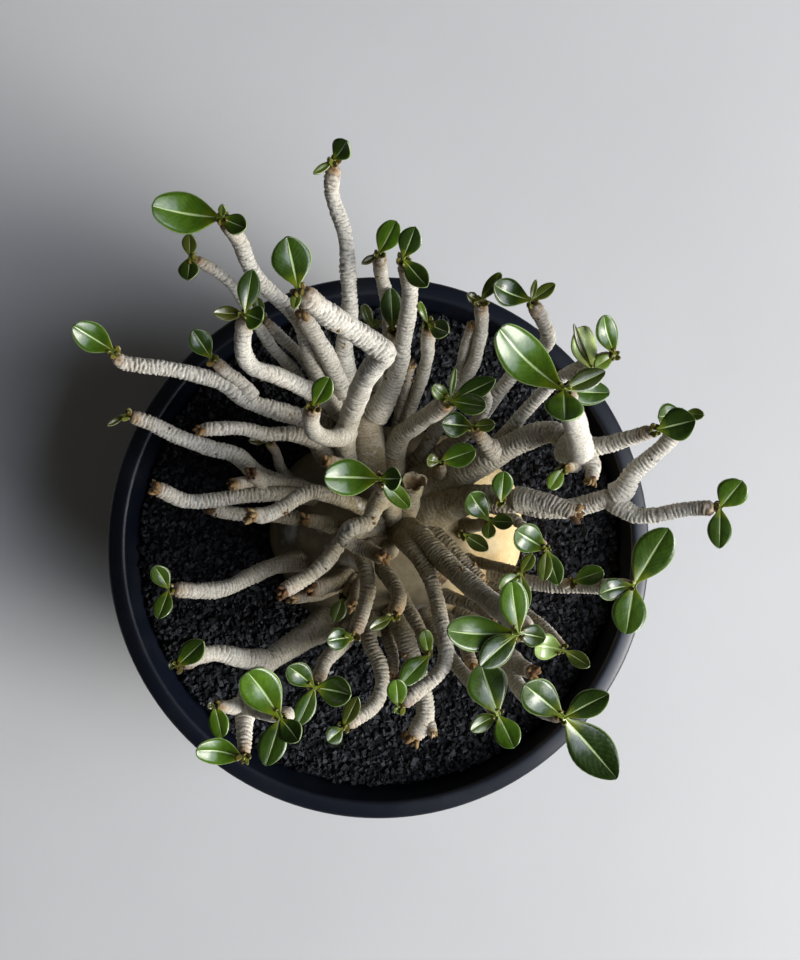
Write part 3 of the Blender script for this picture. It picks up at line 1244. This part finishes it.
    def blade(self, settings):
        """Leathery evergreen leaf: waxy and glossy, with a pale midrib and margin."""
        material, tree = new_material("waxy_leaf")
        place = add(tree, "TexCoord").outputs["Object"]
        tone = add(tree, "Attribute", attribute_name="tone").outputs["Fac"]
        young = add(tree, "Attribute", attribute_name="young").outputs["Fac"]
        uv = add(tree, "UVMap", uv_map="blade")
        split = add(tree, "SeparateXYZ", {"Vector": uv})
        along = split.outputs["Y"]
        across = add(tree, "Math", {0: split, 1: 0.5}, operation="SUBTRACT")
        off = add(tree, "Math", {0: across}, operation="ABSOLUTE")
        mottle = add(tree, "TexNoise", {"Vector": place, "Scale": per(LEAF_MOTTLE), "Detail": 3})
        green = add(
            tree, "Mix", {"Factor": tone, MIX_A: settings.deep, MIX_B: settings.fresh}, data_type="RGBA",
        )
        # A tone past 1 is a paler green
        beyond = add(tree, "MapRange", {"Value": tone, "From Min": 1, "From Max": 2})
        green = add(tree, "Mix", {"Factor": beyond, MIX_A: green, MIX_B: srgb("#bccf7e")}, data_type="RGBA")
        dapple = add(
            tree, "MapRange",
            {"Value": mottle, "From Min": 0.3, "From Max": 0.7, "To Min": 0.8, "To Max": 1.15},
        )
        colour = add(tree, "Mix", {"Factor": 1, MIX_A: green, MIX_B: dapple}, **SHADED)
        # Side veins lean towards the tip, about ten to a blade
        lean = add(tree, "Math", {0: off, 1: -0.7, 2: along}, operation="MULTIPLY_ADD")
        wave = add(tree, "Math", {0: lean, 1: 66}, operation="MULTIPLY")
        beat = add(tree, "Math", {0: wave}, operation="SINE")
        vein = add(tree, "MapRange", {"Value": beat, "From Min": 0.7, "From Max": 1, "To Max": 0.07})
        base = add(
            tree, "MapRange",
            {"Value": along, "From Min": 0.05, "From Max": 0.3, "To Min": 0.85, "To Max": 0},
        )
        taper = add(tree, "MapRange", {"Value": along, "To Min": 0.06, "To Max": 0.014})
        rib = add(tree, "Math", {0: off, 1: taper}, operation="DIVIDE")
        midrib = add(
            tree, "MapRange", {"Value": rib, "From Min": 0.5, "From Max": 1, "To Min": 0.85, "To Max": 0},
        )
        margin = add(tree, "MapRange", {"Value": off, "From Min": 0.468, "From Max": 0.492, "To Max": 0.6})
        sprout = add(
            tree, "Mix", {"Factor": tone, MIX_A: srgb("#5c3a1a"), MIX_B: srgb("#667024")}, data_type="RGBA",
        )
        layers = [
            (vein, srgb("#7ea054")), (base, srgb("#76820f")), (midrib, srgb("#b9cd8f")),
            (margin, srgb("#aabf80")), (young, sprout),
        ]
        for factor, over in layers:
            colour = add(tree, "Mix", {"Factor": factor, MIX_A: colour, MIX_B: over}, data_type="RGBA")
        finish_material(
            tree,
            {"Base Color": colour, "Roughness": 0.4, "Specular IOR Level": 0.2,
             "Coat Weight": 0.7, "Coat Roughness": 0.2},
            bump=mottle, bump_depth=0.35,
        )
        return material


class DESERT_ROSE_OT_stage(Operator):
    """Sets the floor, the soft lights and the camera straight above the plant"""
    bl_idname = "desert_rose.stage"
    bl_label = "Stage"

    # Softboxes, in metres and degrees: width, height, azimuth, elevation, distance from the
    # crown's middle, and colour
    LIGHTS = {
        "key": (0.75, 0.75, -22, 22, 2.0, "#fffaf0"),
        "window": (2.0, 1.3, -19, 26, 2.2, "#f2f6ff"),
        "sky": (1.3, 0.7, -20, 50, 2.2, "#e2ebff"),
    }

    def execute(self, context):
        settings = context.scene.desert_rose_stage
        scene = context.scene
        bm = bmesh.new()
        bmesh.ops.create_grid(bm, x_segments=4, y_segments=4, size=FLOOR_REACH * MM)
        floor = bpy.data.objects.new("floor", mesh_of(bm, "floor"))
        floor.data.materials.append(self.paint(settings))
        scene.collection.objects.link(floor)
        for name, box in self.LIGHTS.items():
            self.light(scene, name, getattr(settings, name), *box)

        world = bpy.data.worlds.new("studio")
        world.use_nodes = True
        glow = world.node_tree.nodes["Background"].inputs
        glow["Color"].default_value = (*srgb("#e6e2da"), 1)
        glow["Strength"].default_value = 0.045
        scene.world = world

        lens = bpy.data.cameras.new("camera")
        lens.sensor_width = 36
        lens.lens = 38.8
        camera = bpy.data.objects.new("camera", lens)
        camera.location = EYE * MM
        scene.collection.objects.link(camera)
        scene.camera = camera
        scene.view_settings.view_transform = "Standard"
        return {"FINISHED"}

    def paint(self, settings):
        """Matt paint, a little cloudy."""
        material, tree = new_material("pale_floor")
        place = add(tree, "TexCoord").outputs["Object"]
        cloud = add(tree, "TexNoise", {"Vector": place, "Scale": per(FLOOR_CLOUD), "Detail": 4})
        tone = add(tree, "MapRange", {"Value": cloud, "To Min": 0.94, "To Max": 1.05})
        colour = add(tree, "Mix", {"Factor": 1, MIX_A: settings.floor, MIX_B: tone}, **SHADED)
        finish_material(tree, {"Base Color": colour, "Roughness": 0.85})
        return material

    def light(self, scene, name, power, width, height, azimuth, elevation, distance, colour):
        """A softbox that faces the crown from this direction."""
        lamp = bpy.data.lights.new(name, "AREA")
        lamp.shape = "RECTANGLE"
        lamp.size = width
        lamp.size_y = height
        lamp.energy = power
        lamp.color = srgb(colour)
        box = bpy.data.objects.new(name, lamp)
        turn, lift = math.radians(azimuth), math.radians(elevation)
        away = Vector((math.cos(turn) * math.cos(lift), math.sin(turn) * math.cos(lift), math.sin(lift)))
        box.location = Vector((0, 0, CROWN_HEIGHT * MM)) + away * distance
        box.rotation_euler = away.to_track_quat("Z", "Y").to_euler()
        scene.collection.objects.link(box)


class DESERT_ROSE_PT_panel(Panel):
    """Lists the pieces of the desert rose and their settings"""
    bl_idname = "DESERT_ROSE_PT_panel"
    bl_label = "Desert rose"
    bl_space_type = "VIEW_3D"
    bl_region_type = "UI"
    bl_category = "Desert rose"

    def draw(self, context):
        for operator, group in STEPS.items():
            box = self.layout.box()
            box.operator(operator.bl_idname)
            settings = getattr(context.scene, group)
            for name in settings.__annotations__:
                box.prop(settings, name)


GROUPS = {
    "desert_rose_pot": PotSettings,
    "desert_rose_soil": SoilSettings,
    "desert_rose_bark": BarkSettings,
    "desert_rose_leaf": LeafSettings,
    "desert_rose_stage": StageSettings,
}
# Each operator with the settings that it reads
STEPS = {
    DESERT_ROSE_OT_pot: "desert_rose_pot",
    DESERT_ROSE_OT_soil: "desert_rose_soil",
    DESERT_ROSE_OT_caudex: "desert_rose_bark",
    DESERT_ROSE_OT_stems: "desert_rose_bark",
    DESERT_ROSE_OT_leaves: "desert_rose_leaf",
    DESERT_ROSE_OT_stage: "desert_rose_stage",
}


def register():
    for name, group in GROUPS.items():
        bpy.utils.register_class(group)
        setattr(bpy.types.Scene, name, PointerProperty(type=group))
    for operator in STEPS:
        bpy.utils.register_class(operator)
    bpy.utils.register_class(DESERT_ROSE_PT_panel)


def unregister():
    bpy.utils.unregister_class(DESERT_ROSE_PT_panel)
    for operator in reversed(STEPS):
        bpy.utils.unregister_class(operator)
    for name, group in GROUPS.items():
        delattr(bpy.types.Scene, name)
        bpy.utils.unregister_class(group)


def main():
    register()
    bpy.ops.desert_rose.pot()
    bpy.ops.desert_rose.soil()
    bpy.ops.desert_rose.caudex()
    bpy.ops.desert_rose.stems()
    bpy.ops.desert_rose.leaves()
    bpy.ops.desert_rose.stage()


if __name__ == "__main__":
    main()
